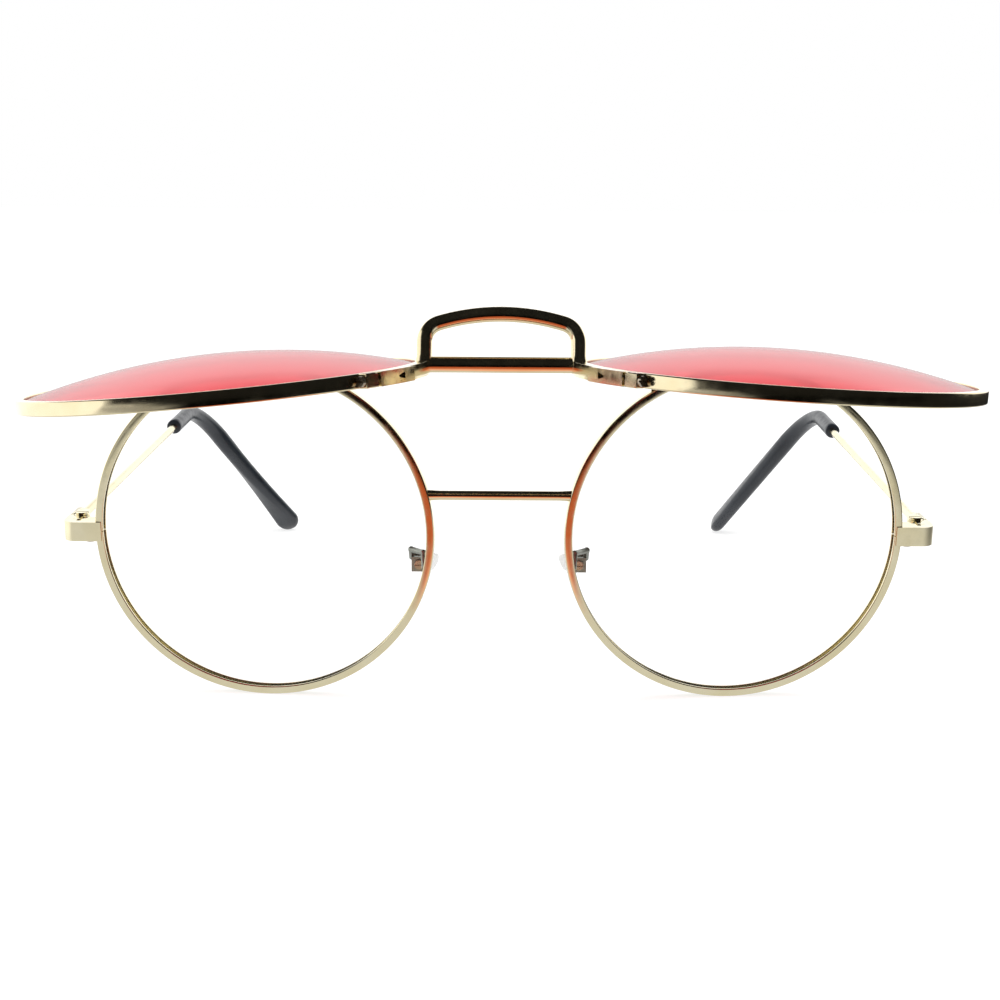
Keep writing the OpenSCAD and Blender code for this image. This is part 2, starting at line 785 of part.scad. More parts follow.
// Arch that a finger lifts the flip unit by, drawn with its feet down along -y
module arch_wire() {
    r = arch_d / 2;
    turn = 90 - arch_slope;
    half_w = half_pitch - rim_r + arch_inset;
    crown_x = half_w - arch_shoulder * (1 - cos(turn));
    bow_r = crown_x / sin(arch_slope);
    leg = arch_h - arch_shoulder * sin(turn) - bow_r * (1 - cos(arch_slope));
    foot_len = 2;
    shoulder_steps = 6;
    crown_steps = 10;
    shoulder = [
        for (i = [0:shoulder_steps]) let (a = i * turn / shoulder_steps)
            [half_w - arch_shoulder * (1 - cos(a)), leg + arch_shoulder * sin(a), 90 + a, r, 0, 0]
    ];
    swept([
        [half_w, -foot_len, 90, r, 0, 0],
        for (st = shoulder) st,
        for (i = [1:crown_steps - 1]) let (a = arch_slope * (1 - 2 * i / crown_steps))
            [bow_r * sin(a), arch_h - bow_r * (1 - cos(a)), 180 - a, r, 0, 0],
        for (i = [shoulder_steps:-1:0]) let (st = shoulder[i]) [-st[0], st[1], 360 - st[2], r, 0, 0],
        [-half_w, -foot_len, 270, r, 0, 0]
    ]);
}

module flip_arch_worn() {
    face = -flip_reach - rim_half;
    difference() {
        translate([0, face, rim_r]) rotate([180 - arch_lean, 0, 0]) arch_wire();
        bar_and_straps(braze_gap);
        for (s = [-1, 1]) side(s) at_flip_rim(s) {
            rim_space();
            translate([0, 0, -rim_half - 3]) cylinder(h = rim_depth + 3, r = rim_r + 2);
        }
    }
}

module base_side(s, tone) {
    color(tone) stand() side(s) children();
}

module flip_side(s, tone) {
    color(tone) stand() raised() side(s) children();
}

base_side(-1, gold) base_rim();  // base_rim_left
base_side(1, gold) base_rim();  // base_rim_right
base_side(-1, clear) clear_lens();  // clear_lens_left
base_side(1, clear) clear_lens();  // clear_lens_right
bridge_bar();
base_side(-1, gold) endpiece();  // endpiece_left
base_side(1, gold) endpiece();  // endpiece_right
base_side(-1, gold) closing_block();  // closing_block_left
base_side(1, gold) closing_block();  // closing_block_right
base_side(-1, dark_gold) rim_screw();  // rim_screw_left
base_side(1, dark_gold) rim_screw();  // rim_screw_right
base_side(-1, gold) hinge_front();  // hinge_front_left
base_side(1, gold) hinge_front();  // hinge_front_right
base_side(-1, dark_gold) hinge_screw();  // hinge_screw_left
base_side(1, dark_gold) hinge_screw();  // hinge_screw_right
base_side(-1, gold) pad_arm();  // pad_arm_left
base_side(1, gold) pad_arm();  // pad_arm_right
base_side(-1, dark_gold) pad_screw();  // pad_screw_left
base_side(1, dark_gold) pad_screw();  // pad_screw_right
base_side(-1, gold) flip_base_leaf();  // flip_base_leaf_left
base_side(1, gold) flip_base_leaf();  // flip_base_leaf_right
base_side(-1, dark_gold) flip_pin();  // flip_pin_left
base_side(1, dark_gold) flip_pin();  // flip_pin_right
flip_side(-1, gold) at_flip_rim(-1) rim_wire(flip_cut);  // flip_rim_left
flip_side(1, gold) at_flip_rim(1) rim_wire(flip_cut);  // flip_rim_right
flip_side(-1, red) at_flip_rim(-1) lens(tint_curve, tint_t);  // tinted_lens_left
flip_side(1, red) at_flip_rim(1) lens(tint_curve, tint_t);  // tinted_lens_right
color(gold) stand() raised() bar_and_straps(0);  // flip_bar
color(gold) stand() raised() flip_arch_worn();  // flip_arch
flip_side(-1, gold) flip_leaf(-1);  // flip_leaf_left
flip_side(1, gold) flip_leaf(1);  // flip_leaf_right
flip_side(-1, gold) at_flip_rim(-1) flip_block();  // flip_block_left
flip_side(1, gold) at_flip_rim(1) flip_block();  // flip_block_right
flip_side(-1, gold) at_flip_rim(-1) flip_cap();  // flip_cap_left
flip_side(1, gold) at_flip_rim(1) flip_cap();  // flip_cap_right
flip_side(-1, dark_gold) at_flip_rim(-1) flip_screw();  // flip_screw_left
flip_side(1, dark_gold) at_flip_rim(1) flip_screw();  // flip_screw_right
base_side(-1, gold) temple(-1);  // temple_left
base_side(1, gold) temple(1);  // temple_right
base_side(-1, gold) hinge_temple();  // hinge_temple_left
base_side(1, gold) hinge_temple();  // hinge_temple_right
base_side(-1, slate) temple_tip(-1);  // temple_tip_left
base_side(1, slate) temple_tip(1);  // temple_tip_right
base_side(-1, silicone) nose_pad();  // nose_pad_left
base_side(1, silicone) nose_pad();  // nose_pad_right
base_side(-1, silicone) pad_core();  // pad_core_left
base_side(1, silicone) pad_core();  // pad_core_right
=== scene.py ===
"""Looks of the flip up sunglasses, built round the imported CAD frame.

Left is -X and right is +X. Shapes are made in the CAD source's millimetres and degrees, and STAND
puts them on the table in metres.
"""
import math

import bpy
import bmesh
from mathutils import Matrix, Vector


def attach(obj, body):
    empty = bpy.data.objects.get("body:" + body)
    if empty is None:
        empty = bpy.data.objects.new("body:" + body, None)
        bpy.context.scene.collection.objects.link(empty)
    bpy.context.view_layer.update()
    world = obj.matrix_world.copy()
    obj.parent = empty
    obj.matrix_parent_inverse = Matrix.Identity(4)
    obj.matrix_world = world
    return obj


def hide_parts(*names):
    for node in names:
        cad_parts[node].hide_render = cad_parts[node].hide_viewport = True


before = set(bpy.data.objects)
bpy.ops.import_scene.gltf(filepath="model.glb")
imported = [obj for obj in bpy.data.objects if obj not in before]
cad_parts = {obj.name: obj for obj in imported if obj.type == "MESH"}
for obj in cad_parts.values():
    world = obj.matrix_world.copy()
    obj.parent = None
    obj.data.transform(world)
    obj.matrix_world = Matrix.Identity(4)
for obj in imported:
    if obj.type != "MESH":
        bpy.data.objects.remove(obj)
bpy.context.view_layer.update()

MM = 0.001
DEG = math.pi / 180
TINY = 1e-9
SIDES = {"left": -1, "right": 1}

# Sizes of the CAD source
RIM_R, RIM_W, RIM_DEPTH, RIM_BEVEL = 26.2, 1.2, 1.8, 0.25
GROOVE_W, GROOVE_DEPTH = 1.0, 0.45
HALF_PITCH = 36.0
BASE_WRAP = 4.0
FLIP_WRAP = {1: 3.1, -1: 5.4}
FLIP_GAP, FLIP_REACH, FLIP_OPEN = 4.5, 6.95, 96.0
FLIP_AXIS_Z = 2 * RIM_R - 0.7
FLIP_CUT_ANGLE = 180 + 38.5
CLEAR_T, CLEAR_CURVE = 1.7, 132.0
TINT_T, TINT_CURVE = 1.1, 88.0
LENS_FIT = 0.05
ARCH_D, ARCH_H, ARCH_LEAN, ARCH_SHOULDER, ARCH_SLOPE = 2.0, 6.15, 15.0, 2.6, 17.0
ARCH_HALF_W = HALF_PITCH - RIM_R + 0.2
ENDPIECE_X, ENDPIECE_T, ENDPIECE_H, ENDPIECE_DROP = HALF_PITCH + RIM_R + 5.1, 1.3, 3.0, 0.4
BASE_CUT_ANGLE = -math.asin(ENDPIECE_DROP / RIM_R) / DEG
END_Z = RIM_R - ENDPIECE_DROP
ARM_X = ENDPIECE_X - ENDPIECE_T
HINGE_X, HINGE_Y, SWING_R = ARM_X - 0.7, 5.5, 1.3
BUTT_GAP, BUTT_LEN = 0.1, 4.5
TEMPLE_X, TEMPLE_D, TEMPLE_SPLAY = ENDPIECE_X - ENDPIECE_T / 2, 1.4, {1: 1.3, -1: -0.3}
BEND_START, BEND_R, BEND_ANGLE, BEND_INWARD = 87.5, 12.0, 75.0, {1: 33.5, -1: 33.0}
TAIL_LEN, SLEEVE_LEN, SLEEVE_R = 25.0, 13.0, 1.45
TIP_W, TIP_R, TIP_END_R, TIP_TURN = 5.4, 1.8, 1.3, {1: 0.0, -1: 70.0}
TIP_OFF = TIP_W / 2 - TIP_END_R
PAD_X, PAD_Y, PAD_Z = HALF_PITCH - RIM_R + 2.8, 6.7, RIM_R - 6.7
PAD_H, PAD_W, PAD_T, PAD_REACH, PAD_GAP = 13.0, 7.2, 2.4, 2.3, 0.01
PAD_FRONTAL, PAD_SPLAY = 16.0, 26.0
PAD_TOP_SHARE = 0.8

# The CAD's steps along the ear bend, the tail and its end, and the finer ones of the visible tip
CAD_TIP_STEPS = (8, 6, (20, 40, 60, 80))
CAD_TIP_SIDES = 16
TIP_STEPS = (40, 24, [7.5 * k for k in range(1, 12)])
TIP_SIDES = 36

# Rounding and fineness of the visible shapes
RIM_ROUND, RIM_INNER_ROUND, GROOVE_ROUND, ROUND_STEPS = 0.2, 0.15, 0.05, 5
RIM_STEPS = 256
# Width of the saw cut as it looks once the closing block is screwed tight
SHUT_CUT = 0.12
LENS_STEPS, LENS_AROUND = 28, 128
ARCH_FOOT, ARCH_FLARE, FLARE_STEPS = 0.3, 0.16, 3
ARCH_CORNER_STEPS, ARCH_BOW_STEPS, ARCH_SIDES = 24, 40, 28
BUTT_HOLLOW_STEPS = 10
BUTT_CHAMFER = 0.15
# The rear corners of the flat end: where the rounding starts across and along, and its middle
BUTT_ROUND_X, BUTT_ROUND_Y, BUTT_ROUND_MID = 0.4, 0.5, 0.12
# Heights above the flat end's lower face, and how far its outline is drawn in there
BUTT_BEVEL = ((0, 0.22), (0.06, 0.1), (0.22, 0.0))
WIRE_IN_BUTT, WIRE_IN_SLEEVE, WIRE_STEPS, WIRE_SIDES = 1.0, 2.0, 8, 32
# Distances behind the sleeve's mouth, and how far its radius is drawn in there
SLEEVE_MOUTH = ((0, 0.3), (0.05, 0.16), (0.15, 0.06), (0.3, 0))
SLEEVE_STEPS = 8
PAD_AROUND, PAD_ROWS, PAD_OUTLINE_STEPS = 64, 14, 40


def turn(axis, degrees):
    return Matrix.Rotation(degrees * DEG, 4, axis)


def move(x, y, z):
    return Matrix.Translation((x, y, z))


def bend(a, r):
    """A station on the ear bend: x, y, direction, radius, a flat section's half width and turn."""
    return (BEND_R * math.sin(a * DEG), BEND_R * (1 - math.cos(a * DEG)), a, r, 0, 0)


def tail(t, r, off=0, twist=0):
    """A station at distance t on the straight tail behind the bend."""
    x, y = bend(BEND_ANGLE, r)[:2]
    b = BEND_ANGLE * DEG
    return (x + t * math.cos(b), y + t * math.sin(b), BEND_ANGLE, r, off, twist)


def tip_path(s, bends, tails, ends):
    """Stations of a temple tip behind its sleeve, with the counts of steps and the end's angles."""
    path = [bend(BEND_ANGLE * k / bends, SLEEVE_R + k / bends * (TIP_R - SLEEVE_R))
            for k in range(bends + 1)]
    for k in range(1, tails + 1):
        u = k / tails
        path.append(tail(u * TAIL_LEN, TIP_R + u * (TIP_END_R - TIP_R), u * TIP_OFF,
                         u * TIP_TURN[s]))
    for a in ends:
        c = math.cos(a * DEG)
        path.append(tail(TAIL_LEN + TIP_W / 2 * math.sin(a * DEG), TIP_END_R * c, TIP_OFF * c,
                         TIP_TURN[s]))
    return path


def section(station, sides):
    """Points round a station."""
    x, y, a, r, off, twist = station
    ring = []
    for k in range(sides):
        t = 2 * math.pi * k / sides
        c = math.cos(t)
        half = 1 if c > TINY else -1 if c < -TINY else 0
        u, v = r * c + off * half, r * math.sin(t)
        w = u * math.cos(twist * DEG) - v * math.sin(twist * DEG)
        ring.append((x - w * math.sin(a * DEG), y + w * math.cos(a * DEG),
                     u * math.sin(twist * DEG) + v * math.cos(twist * DEG)))
    return ring


def in_bend(s):
    """The frame of the ear bend: x along the run and y toward the inside of the bend."""
    at = move(TEMPLE_X, HINGE_Y, END_Z) @ turn("Z", -TEMPLE_SPLAY[s]) @ move(0, BEND_START, 0)
    return at @ turn("Y", BEND_INWARD[s]) @ turn("Y", -90) @ turn("Z", 90)


def side_matrix(s):
    return Matrix.Scale(-1, 4, (1, 0, 0)) if s < 0 else Matrix.Identity(4)


def at_rim(y, wrap):
    """The middle of a rim, with z along its axis to the front."""
    return move(HALF_PITCH, y, RIM_R) @ turn("Z", wrap) @ turn("X", 90)


def at_flip_rim(s):
    return at_rim(RIM_R * math.sin(FLIP_WRAP[s] * DEG) - FLIP_REACH, FLIP_WRAP[s])


# The glasses lean until the lower of the two tips touches the table
FOOT = RIM_DEPTH / 2 - RIM_BEVEL
tip_points = [in_bend(s) @ Vector(p) for s in SIDES.values()
              for station in tip_path(s, *CAD_TIP_STEPS) for p in section(station, CAD_TIP_SIDES)]
LEAN = max(-math.atan2(p.z, p.y + FOOT) for p in tip_points)
STAND = Matrix.Scale(MM, 4) @ move(0, 0, FOOT * math.sin(LEAN)) @ turn("X", LEAN / DEG)
RAISED = move(0, -FLIP_GAP, FLIP_AXIS_Z) @ turn("X", -FLIP_OPEN) @ move(0, FLIP_GAP, -FLIP_AXIS_Z)


# ---------------------------------------------------------------- mesh tools

def new_object(name, verts, faces, matrix, material, sharp=40):
    """A mesh object from points in millimetres, placed by a matrix and kept at the origin."""
    mesh = bpy.data.meshes.new(name)
    mesh.from_pydata([matrix @ Vector(v) for v in verts], [], faces)
    bm = bmesh.new()
    bm.from_mesh(mesh)
    bmesh.ops.remove_doubles(bm, verts=bm.verts, dist=1e-8)
    bmesh.ops.recalc_face_normals(bm, faces=bm.faces)
    bm.to_mesh(mesh)
    bm.free()
    for p in mesh.polygons:
        p.use_smooth = True
    mesh.set_sharp_from_angle(angle=sharp * DEG)
    obj = bpy.data.objects.new(name, mesh)
    bpy.context.scene.collection.objects.link(obj)
    obj.data.materials.append(material)
    return obj


def loft(rings):
    """Points and faces of a solid that joins rings of equal length, with flat ends."""
    n = len(rings[0])
    verts = [v for r in rings for v in r]
    faces = []
    for i in range(len(rings) - 1):
        a, b = i * n, (i + 1) * n
        for k in range(n):
            l = (k + 1) % n
            faces.append((a + k, a + l, b + l, b + k))
    faces.append(tuple(range(n))[::-1])
    faces.append(tuple(range(len(verts) - n, len(verts))))
    return verts, faces


def round_z(profile, degrees):
    """A ring: the profile of (radius, height) turned about z by an angle."""
    a = degrees * DEG
    return [(r * math.cos(a), r * math.sin(a), z) for r, z in profile]


def tube(path, sides):
    return loft([section(station, sides) for station in path])


def rounded(points, radii):
    """A closed outline whose corners are rounded by arcs."""
    out = []
    for i, (p, r) in enumerate(zip(points, radii)):
        p = Vector(p)
        if r <= 0:
            out.append(tuple(p))
            continue
        u = (Vector(points[i - 1]) - p).normalized()
        v = (Vector(points[(i + 1) % len(points)]) - p).normalized()
        half = u.angle(v) / 2
        cut = r / math.tan(half)
        centre = p + (u + v).normalized() * (r / math.sin(half))
        s = (p + u * cut) - centre
        e = (p + v * cut) - centre
        whole = math.atan2(s.x * e.y - s.y * e.x, s.dot(e))
        for k in range(ROUND_STEPS + 1):
            a = whole * k / ROUND_STEPS
            out.append((centre.x + s.x * math.cos(a) - s.y * math.sin(a),
                        centre.y + s.x * math.sin(a) + s.y * math.cos(a)))
    return out


# ---------------------------------------------------------------- materials

def new_material(name):
    mat = bpy.data.materials.new(name)
    mat.use_nodes = True
    nt = mat.node_tree
    nt.nodes.clear()
    return mat, nt, node(nt, "OutputMaterial")


def node(nt, kind, **values):
    """A shader node with its properties and unlinked inputs set; _ in a name stands for a space."""
    n = nt.nodes.new("ShaderNode" + kind)
    for key, value in values.items():
        if hasattr(n, key):
            setattr(n, key, value)
        else:
            n.inputs[key.replace("_", " ")].default_value = value
    return n


def maths(nt, kind, a, b):
    n = node(nt, "Math", operation=kind)
    for k, v in enumerate((a, b)):
        if isinstance(v, (int, float)):
            n.inputs[k].default_value = v
        else:
            nt.links.new(v, n.inputs[k])
    return n.outputs[0]


def spread(nt, value, low, high, start=0.3, end=0.7, curve="LINEAR"):
    """The value from start to end, mapped from low to high and held there beyond them."""
    n = node(nt, "MapRange", interpolation_type=curve, From_Min=start, From_Max=end,
             To_Min=low, To_Max=high)
    nt.links.new(value, n.inputs["Value"])
    return n.outputs["Result"]


def step(nt, value, start, end, low=0, high=1):
    """A soft step from low to high between start and end."""
    return spread(nt, value, low, high, start, end, curve="SMOOTHSTEP")


def noise(nt, scale, detail):
    n = node(nt, "TexNoise", Scale=scale, Detail=detail)
    nt.links.new(node(nt, "TexCoord").outputs["Object"], n.inputs["Vector"])
    return n.outputs["Fac"]


def blend_colour(nt, fac, a, b):
    """The colour a where fac is 0 and b where it is 1; each is a tuple or a socket."""
    n = node(nt, "Mix", data_type="RGBA")
    for socket in n.inputs:
        if socket.type == "RGBA" and socket.name in ("A", "B"):
            colour = a if socket.name == "A" else b
            if isinstance(colour, tuple):
                socket.default_value = (*colour, 1)
            else:
                nt.links.new(colour, socket)
    nt.links.new(fac, n.inputs["Factor"])
    return [o for o in n.outputs if o.type == "RGBA"][0]


def bump(nt, height, strength, distance):
    n = node(nt, "Bump", Strength=strength, Distance=distance)
    nt.links.new(height, n.inputs["Height"])
    return n.outputs["Normal"]


def surface(nt, shader, colours, drift, marks, rough, grain):
    """Gives a shader a drift of colour, patches of roughness and a fine grain.

    drift, marks and grain each start with the noise's scale and detail, and grain goes on with
    the bump's strength and distance.
    """
    tone = spread(nt, noise(nt, *drift), 0, 1)
    nt.links.new(blend_colour(nt, tone, *colours), shader.inputs["Base Color"])
    nt.links.new(spread(nt, noise(nt, *marks), *rough), shader.inputs["Roughness"])
    nt.links.new(bump(nt, noise(nt, *grain[:2]), *grain[2:]), shader.inputs["Normal"])


def metal(name, light, deep, rough=(0.1, 0.2)):
    """Polished plated wire: a slight drift of tone, thinner plating and fine polishing marks."""
    mat, nt, out = new_material(name)
    shader = node(nt, "BsdfPrincipled", Metallic=1.0)
    surface(nt, shader, (light, deep), (160, 3), (700, 4), rough, (5200, 2, 0.12, 2e-6))
    nt.links.new(shader.outputs["BSDF"], out.inputs["Surface"])
    return mat


def plastic(name, light, deep, rough=(0.28, 0.42)):
    """Smooth moulded plastic with faint mottling and a soft gloss."""
    mat, nt, out = new_material(name)
    shader = node(nt, "BsdfPrincipled", Coat_Weight=0.12, Coat_Roughness=0.15)
    surface(nt, shader, (light, deep), (220, 4), (900, 3), rough, (3500, 2, 0.1, 4e-6))
    nt.links.new(shader.outputs["BSDF"], out.inputs["Surface"])
    return mat


def see_through(name, tint, deep, ior=1.5, rough=0.02, gloss=1.0, haze=None):
    """A clear or tinted surface: what is behind shows through, and it mirrors most at the edge.

    haze is the share of a milky body in it, and that body's colour.
    """
    mat, nt, out = new_material(name)
    clear = node(nt, "BsdfTransparent")
    tone = spread(nt, noise(nt, 45, 2), 0, 1, 0.35, 0.65)
    nt.links.new(blend_colour(nt, tone, tint, deep), clear.inputs["Color"])
    base = clear.outputs["BSDF"]
    if haze:
        share, colour = haze
        body = node(nt, "BsdfPrincipled", Roughness=0.35, Base_Color=(*colour, 1))
        milky = node(nt, "MixShader", Fac=share)
        nt.links.new(base, milky.inputs[1])
        nt.links.new(body.outputs["BSDF"], milky.inputs[2])
        base = milky.outputs["Shader"]
    shine = node(nt, "BsdfGlossy", Roughness=rough, Color=(gloss, gloss, gloss, 1))
    nt.links.new(bump(nt, noise(nt, 60, 2), 0.02, 1e-5), shine.inputs["Normal"])
    outside = maths(nt, "SUBTRACT", 1.0, node(nt, "NewGeometry").outputs["Backfacing"])
    fresnel = node(nt, "Fresnel", IOR=ior).outputs["Fac"]
    mix = node(nt, "MixShader")
    nt.links.new(maths(nt, "MULTIPLY", fresnel, outside), mix.inputs["Fac"])
    nt.links.new(base, mix.inputs[1])
    nt.links.new(shine.outputs["BSDF"], mix.inputs[2])
    nt.links.new(mix.outputs["Shader"], out.inputs["Surface"])
    return mat


GOLD = metal("pale_gold", (0.86, 0.79, 0.56), (0.80, 0.71, 0.45))
WARM_GOLD = metal("warm_gold", (0.86, 0.77, 0.53), (0.80, 0.67, 0.42))
PAD_METAL = metal("pad_box_metal", (0.36, 0.38, 0.34), (0.27, 0.29, 0.25), rough=(0.35, 0.5))
SCREW = metal("screw_metal", (0.55, 0.47, 0.36), (0.40, 0.33, 0.25), rough=(0.2, 0.35))
TINT = see_through("red_tint", (0.96, 0.40, 0.41), (0.95, 0.36, 0.37), gloss=0.5,
                   haze=(0.6, (0.93, 0.11, 0.13)))
CLEAR = see_through("clear_lens_plastic", (0.997, 0.998, 0.998), (0.993, 0.995, 0.995), ior=1.25)
SILICONE = see_through("clear_silicone", (0.985, 0.988, 0.99), (0.97, 0.975, 0.98), ior=1.25,
                       rough=0.3, haze=(0.03, (0.9, 0.92, 0.92)))
INSERT = see_through("clear_insert", (0.93, 0.93, 0.92), (0.9, 0.9, 0.88),
                     rough=0.08, haze=(0.15, (0.8, 0.8, 0.78)))
SLATE = plastic("slate_plastic", (0.016, 0.020, 0.027), (0.010, 0.013, 0.018))


# ---------------------------------------------------------------- rims and lenses

def rim_profile():
    inner, half, g = RIM_R - RIM_W, RIM_DEPTH / 2, GROOVE_W / 2
    bottom = inner + GROOVE_DEPTH
    points = [(inner, -half), (RIM_R, -half), (RIM_R, half), (inner, half),
              (inner, g), (bottom, g), (bottom, -g), (inner, -g)]
    radii = [RIM_INNER_ROUND, RIM_ROUND, RIM_ROUND, RIM_INNER_ROUND,
             GROOVE_ROUND, 0, 0, GROOVE_ROUND]
    return rounded(points, radii)


def rim(name, matrix, cut_angle, material):
    """A grooved wire all the way round but for the shut saw cut at cut_angle."""
    half = math.asin(SHUT_CUT / 2 / RIM_R) / DEG
    start, end = cut_angle + half, cut_angle + 360 - half
    profile = rim_profile()
    verts, faces = loft([round_z(profile, start + (end - start) * i / RIM_STEPS)
                         for i in range(RIM_STEPS + 1)])
    return new_object(name, verts, faces, matrix, material, sharp=35)


def lens(name, matrix, curve, t, material):
    """A domed lens of thickness t, with the tongue that sits in the rim's groove."""
    body = RIM_R - RIM_W - 2 * LENS_FIT
    edge = RIM_R - RIM_W + GROOVE_DEPTH - LENS_FIT
    tongue = (GROOVE_W - LENS_FIT) / 2
    centre = t / 2 - math.sqrt(curve * curve - body * body)
    front = [(body * k / LENS_STEPS, centre + math.sqrt(curve ** 2 - (body * k / LENS_STEPS) ** 2))
             for k in range(1, LENS_STEPS + 1)]
    back = [(r, z - t) for r, z in front][::-1]
    profile = front + [(body, tongue), (edge, tongue), (edge, -tongue), (body, -tongue)] + back
    n = len(profile)
    verts = [v for i in range(LENS_AROUND) for v in round_z(profile, 360 * i / LENS_AROUND)]
    top, bottom = len(verts), len(verts) + 1
    verts += [(0, 0, centre + curve), (0, 0, centre + curve - t)]
    faces = []
    for i in range(LENS_AROUND):
        a, b = i * n, (i + 1) % LENS_AROUND * n
        for k in range(n - 1):
            faces.append((a + k, a + k + 1, b + k + 1, b + k))
        faces.append((top, a, b))
        faces.append((bottom, b + n - 1, a + n - 1))
    return new_object(name, verts, faces, matrix, material, sharp=30)


for word, s in SIDES.items():
    base = STAND @ side_matrix(s) @ at_rim(0, BASE_WRAP)
    flip = STAND @ RAISED @ side_matrix(s) @ at_flip_rim(s)

    o = rim("clear_rim_wire_" + word, base, BASE_CUT_ANGLE, GOLD)
    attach(o, "front")
    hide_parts("base_rim_" + word)

    o = rim("tinted_rim_wire_" + word, flip, FLIP_CUT_ANGLE, WARM_GOLD)
    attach(o, "flip_unit")
    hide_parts("flip_rim_" + word)

    o = lens("clear_dome_" + word, base, CLEAR_CURVE, CLEAR_T, CLEAR)
    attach(o, "front")
    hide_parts("clear_lens_" + word)

    o = lens("tinted_dome_" + word, flip, TINT_CURVE, TINT_T, TINT)
    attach(o, "flip_unit")
    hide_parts("tinted_lens_" + word)


# ---------------------------------------------------------------- finger arch

def arch_path():
    """Stations of the arch: a leg that flares at its foot, a shoulder, the bow and back down."""
    turn_by = 90 - ARCH_SLOPE
    t, slope = turn_by * DEG, ARCH_SLOPE * DEG
    crown_x = ARCH_HALF_W - ARCH_SHOULDER * (1 - math.cos(t))
    bow = crown_x / math.sin(slope)
    leg = ARCH_H - ARCH_SHOULDER * math.sin(t) - bow * (1 - math.cos(slope))
    r = ARCH_D / 2
    half = [(ARCH_HALF_W, -ARCH_FOOT + ARCH_FOOT * k, 90,
             r + ARCH_FLARE * max(0, 1 - k / FLARE_STEPS), 0, 0) for k in range(FLARE_STEPS + 1)]
    half.append((ARCH_HALF_W, leg * 3 / 4, 90, r, 0, 0))
    for i in range(ARCH_CORNER_STEPS + 1):
        a = turn_by * i / ARCH_CORNER_STEPS
        half.append((ARCH_HALF_W - ARCH_SHOULDER * (1 - math.cos(a * DEG)),
                     leg + ARCH_SHOULDER * math.sin(a * DEG), 90 + a, r, 0, 0))
    middle = []
    for i in range(1, ARCH_BOW_STEPS):
        a = ARCH_SLOPE * (1 - 2 * i / ARCH_BOW_STEPS)
        middle.append((bow * math.sin(a * DEG), ARCH_H - bow * (1 - math.cos(a * DEG)), 180 - a,
                       r, 0, 0))
    other = [(-x, y, 360 - a, flared, 0, 0) for x, y, a, flared, _, _ in half[::-1]]
    return half + middle + other


face_y = -FLIP_REACH - RIM_DEPTH / 2
arch_at = STAND @ RAISED @ move(0, face_y, RIM_R) @ turn("X", 180 - ARCH_LEAN)
verts, faces = tube(arch_path(), ARCH_SIDES)
arch = new_object("finger_arch", verts, faces, arch_at, WARM_GOLD)
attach(arch, "flip_unit")
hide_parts("flip_arch")


# ---------------------------------------------------------------- temples and their tips

def butt_outline():
    """The flat end from above, hollowed where the hinge's knuckles turn."""
    y0, y1 = HINGE_Y + BUTT_GAP, HINGE_Y + BUTT_GAP + BUTT_LEN
    start = math.acos((ARM_X - HINGE_X) / SWING_R)
    low = math.asin(BUTT_GAP / SWING_R)
    angles = [start + (low - start) * k / BUTT_HOLLOW_STEPS for k in range(BUTT_HOLLOW_STEPS + 1)]
    hollow = [(HINGE_X + SWING_R * math.cos(a), HINGE_Y + SWING_R * math.sin(a)) for a in angles]
    return hollow + [
        (ENDPIECE_X - BUTT_CHAMFER, y0),
        (ENDPIECE_X, y0 + BUTT_CHAMFER),
        (ENDPIECE_X, y1 - BUTT_ROUND_Y),
        (ENDPIECE_X - BUTT_ROUND_MID, y1 - BUTT_ROUND_MID),
        (ENDPIECE_X - BUTT_ROUND_X, y1),
        (ARM_X + BUTT_ROUND_X, y1),
        (ARM_X + BUTT_ROUND_MID, y1 - BUTT_ROUND_MID),
        (ARM_X, y1 - BUTT_ROUND_Y)]


def shrink(outline, by):
    """The outline moved inward, for a bevelled edge."""
    n = len(outline)
    area = sum(outline[i][0] * outline[(i + 1) % n][1] - outline[(i + 1) % n][0] * outline[i][1]
               for i in range(n))
    sign = 1 if area > 0 else -1
    out = []
    for i, p in enumerate(outline):
        d = (Vector(outline[(i + 1) % n]) - Vector(outline[i - 1])).normalized()
        out.append((p[0] - sign * d.y * by, p[1] + sign * d.x * by))
    return out


def temple(s):
    """The flat end and the wire that runs from it into the tip's sleeve."""
    outline = butt_outline()
    low, high = END_Z - ENDPIECE_H / 2, END_Z + ENDPIECE_H / 2
    layers = [(low + z, inset) for z, inset in BUTT_BEVEL]
    layers += [(high - z, inset) for z, inset in BUTT_BEVEL[::-1]]
    verts, faces = loft([[(x, y, z) for x, y in shrink(outline, inset)] for z, inset in layers])
    start, end = BUTT_LEN - WIRE_IN_BUTT - BEND_START, WIRE_IN_SLEEVE - SLEEVE_LEN
    wire = [(start + (end - start) * k / WIRE_STEPS, 0, 0, TEMPLE_D / 2, 0, 0)
            for k in range(WIRE_STEPS + 1)]
    wire_verts, wire_faces = tube(wire, WIRE_SIDES)
    shift = len(verts)
    at = in_bend(s)
    verts = [Vector(v) for v in verts] + [at @ Vector(v) for v in wire_verts]
    return verts, faces + [tuple(i + shift for i in f) for f in wire_faces]


def ear_tip(s):
    path = [(x - SLEEVE_LEN, 0, 0, SLEEVE_R - inset, 0, 0) for x, inset in SLEEVE_MOUTH]
    path += [(-SLEEVE_LEN * (1 - k / SLEEVE_STEPS), 0, 0, SLEEVE_R, 0, 0)
             for k in range(1, SLEEVE_STEPS)]
    return tube(path + tip_path(s, *TIP_STEPS), TIP_SIDES)


